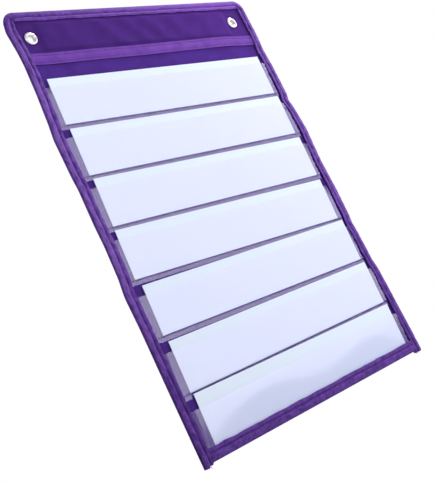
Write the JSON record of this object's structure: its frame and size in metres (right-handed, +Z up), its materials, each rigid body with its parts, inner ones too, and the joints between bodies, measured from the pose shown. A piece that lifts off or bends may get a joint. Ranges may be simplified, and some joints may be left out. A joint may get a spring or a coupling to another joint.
{
  "type": "magnetic wall pocket organizer",
  "caption": "Flat cloth wall organizer with taped edges, stacked clear pockets with loose cards, and a header with a sewn-in magnet strip and corner eyelets.",
  "frame": {"origin": "on the back face of the backing cloth, at the panel's centre line and the middle of the header, where the magnet strip presses it to a steel board", "axes": "+X to the right seen from the front, +Y backwards into the wall, +Z up; the pockets face -Y"},
  "size_m": [0.3351, 0.0051, 0.4594],
  "materials": {
    "backing_cloth": "deep purple woven backing cloth",
    "header_cloth": "purple woven cloth with a slight sheen",
    "binding_tape": "purple binding tape, softly shiny",
    "ribbon": "purple ribbon with a satin sheen",
    "thread": "purple sewing thread",
    "clear_film": "clear soft vinyl film",
    "card": "plain white card stock",
    "nickel": "nickel-plated eyelet metal",
    "magnet": "dark flexible magnet strip, hidden in the header"
  },
  "bodies": {
    "organizer": {"back_panel": "backing_cloth", "header_panel": "header_cloth", "header_ribbon": "ribbon", "magnet_strip": "magnet", "edge_binding": "binding_tape", "bottom_binding": "binding_tape", "pocket_film_1": "clear_film", "pocket_film_2": "clear_film", "pocket_film_3": "clear_film", "pocket_film_4": "clear_film", "pocket_film_5": "clear_film", "pocket_film_6": "clear_film", "pocket_film_7": "clear_film", "pocket_thread_1": "thread", "pocket_thread_2": "thread", "pocket_thread_3": "thread", "pocket_thread_4": "thread", "pocket_thread_5": "thread", "pocket_thread_6": "thread", "ribbon_thread_upper": "thread", "ribbon_thread_lower": "thread", "edge_binding_thread": "thread", "bottom_binding_thread": "thread", "eyelet_left": "nickel", "eyelet_right": "nickel", "eyelet_washer_left": "nickel", "eyelet_washer_right": "nickel"},
    "card_1_body": {"card_1": "card"},
    "card_2_body": {"card_2": "card"},
    "card_3_body": {"card_3": "card"},
    "card_4_body": {"card_4": "card"},
    "card_5_body": {"card_5": "card"},
    "card_6_body": {"card_6": "card"},
    "card_7_body": {"card_7": "card"}
  },
  "joints": [
    {"name": "card_1_slide", "type": "slide", "parent": "organizer", "child": "card_1_body", "axis": [0.0013, -0.0353, 0.9994], "range_m": [0, 0.05]},
    {"name": "card_2_slide", "type": "slide", "parent": "organizer", "child": "card_2_body", "axis": [0.0007, -0.0353, 0.9994], "range_m": [0, 0.05]},
    {"name": "card_3_slide", "type": "slide", "parent": "organizer", "child": "card_3_body", "axis": [0.0067, -0.0353, 0.9994], "range_m": [0, 0.05]},
    {"name": "card_4_slide", "type": "slide", "parent": "organizer", "child": "card_4_body", "axis": [0.0133, -0.0353, 0.9993], "range_m": [0, 0.05]},
    {"name": "card_5_slide", "type": "slide", "parent": "organizer", "child": "card_5_body", "axis": [0.0013, -0.0353, 0.9994], "range_m": [0, 0.05]},
    {"name": "card_6_slide", "type": "slide", "parent": "organizer", "child": "card_6_body", "axis": [-0.0053, -0.0353, 0.9994], "range_m": [0, 0.05]},
    {"name": "card_7_slide", "type": "slide", "parent": "organizer", "child": "card_7_body", "axis": [0, -0.0353, 0.9994], "range_m": [0, 0.05]}
  ]
}
